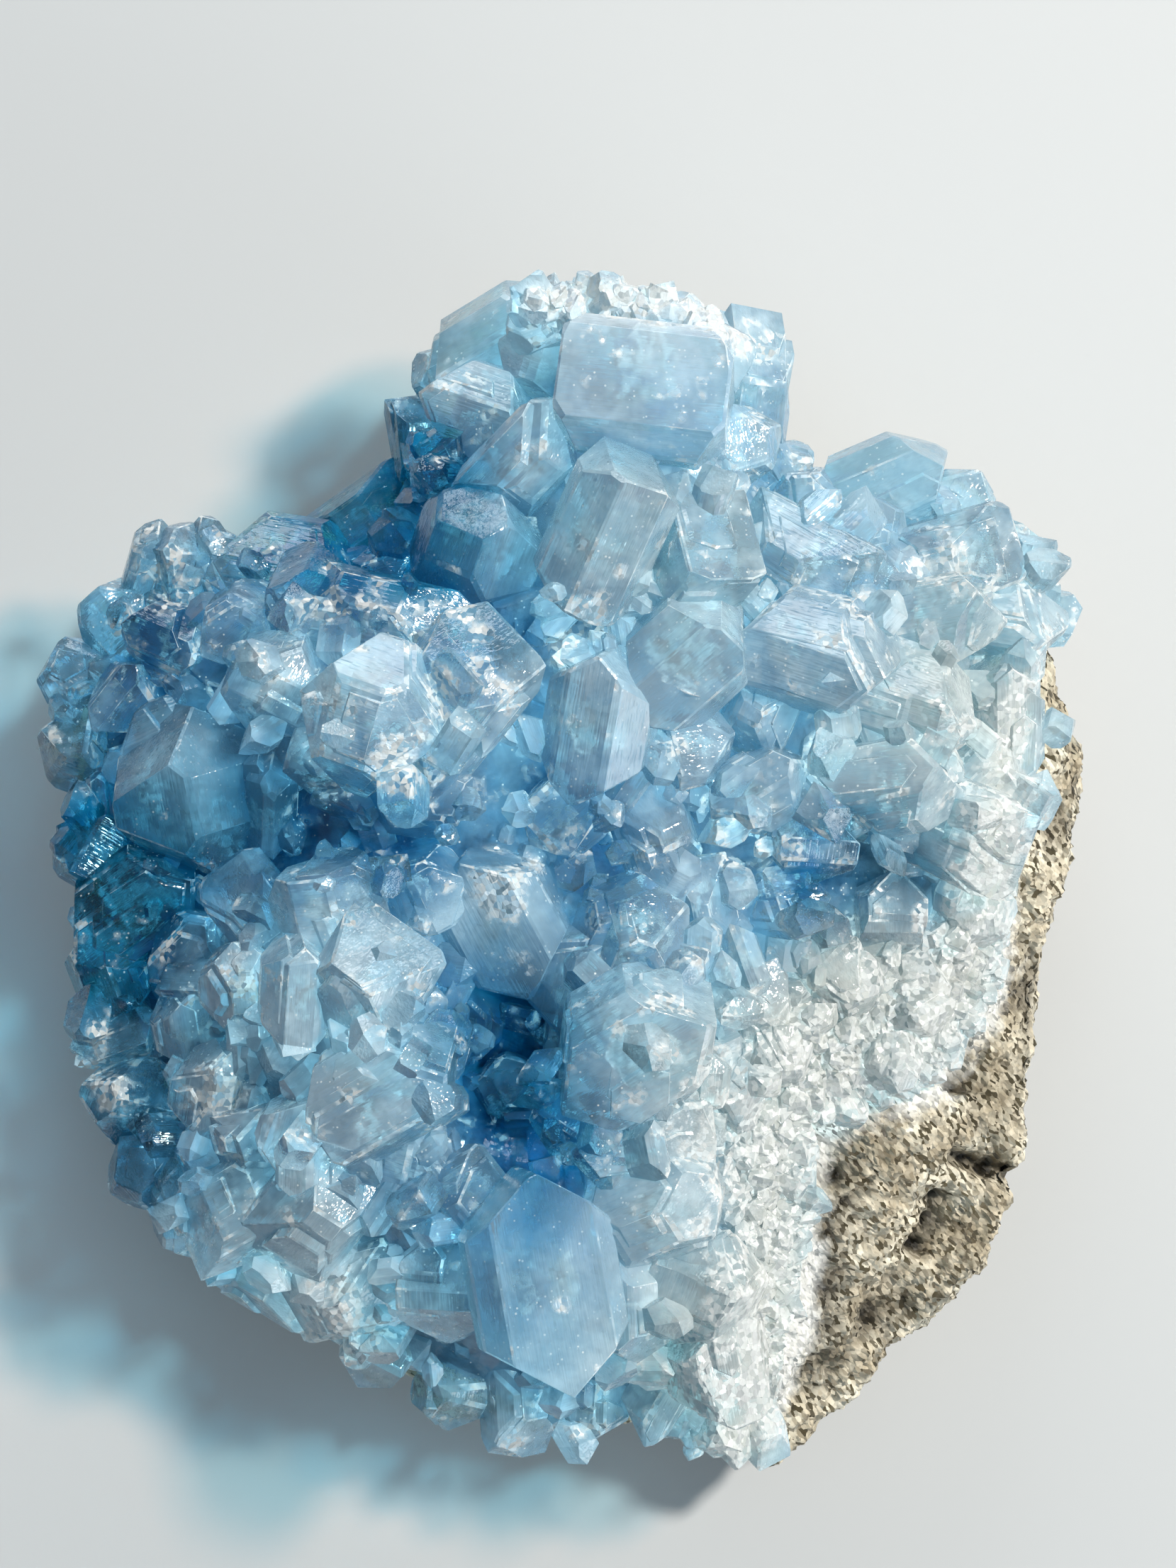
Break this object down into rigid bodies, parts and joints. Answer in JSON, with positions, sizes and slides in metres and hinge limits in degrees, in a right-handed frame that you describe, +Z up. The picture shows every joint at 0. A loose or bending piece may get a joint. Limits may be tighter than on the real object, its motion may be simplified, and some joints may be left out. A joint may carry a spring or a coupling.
{
  "type": "celestite geode",
  "caption": "Hand-sized celestite geode: a mound of intergrown pale blue crystals on a piece of grey host rock, lying on its rocky back.",
  "frame": {"origin": "middle of the specimen's plan, at the level of the small flat spot that it rests on", "axes": "+Z up from the rocky back to the crystals, +Y along the longest side towards the crest of large crystals, +X towards the side where the rock is bare"},
  "size_m": [0.0988, 0.1113, 0.0502],
  "materials": {
    "host_rock": "broken grey-cream marly limestone, dry and granular",
    "celestite": "clear to milky pale blue crystal with flat natural faces"
  },
  "bodies": {
    "root": {"matrix": "host_rock", "crystal_crust": "celestite"}
  },
  "joints": []
}
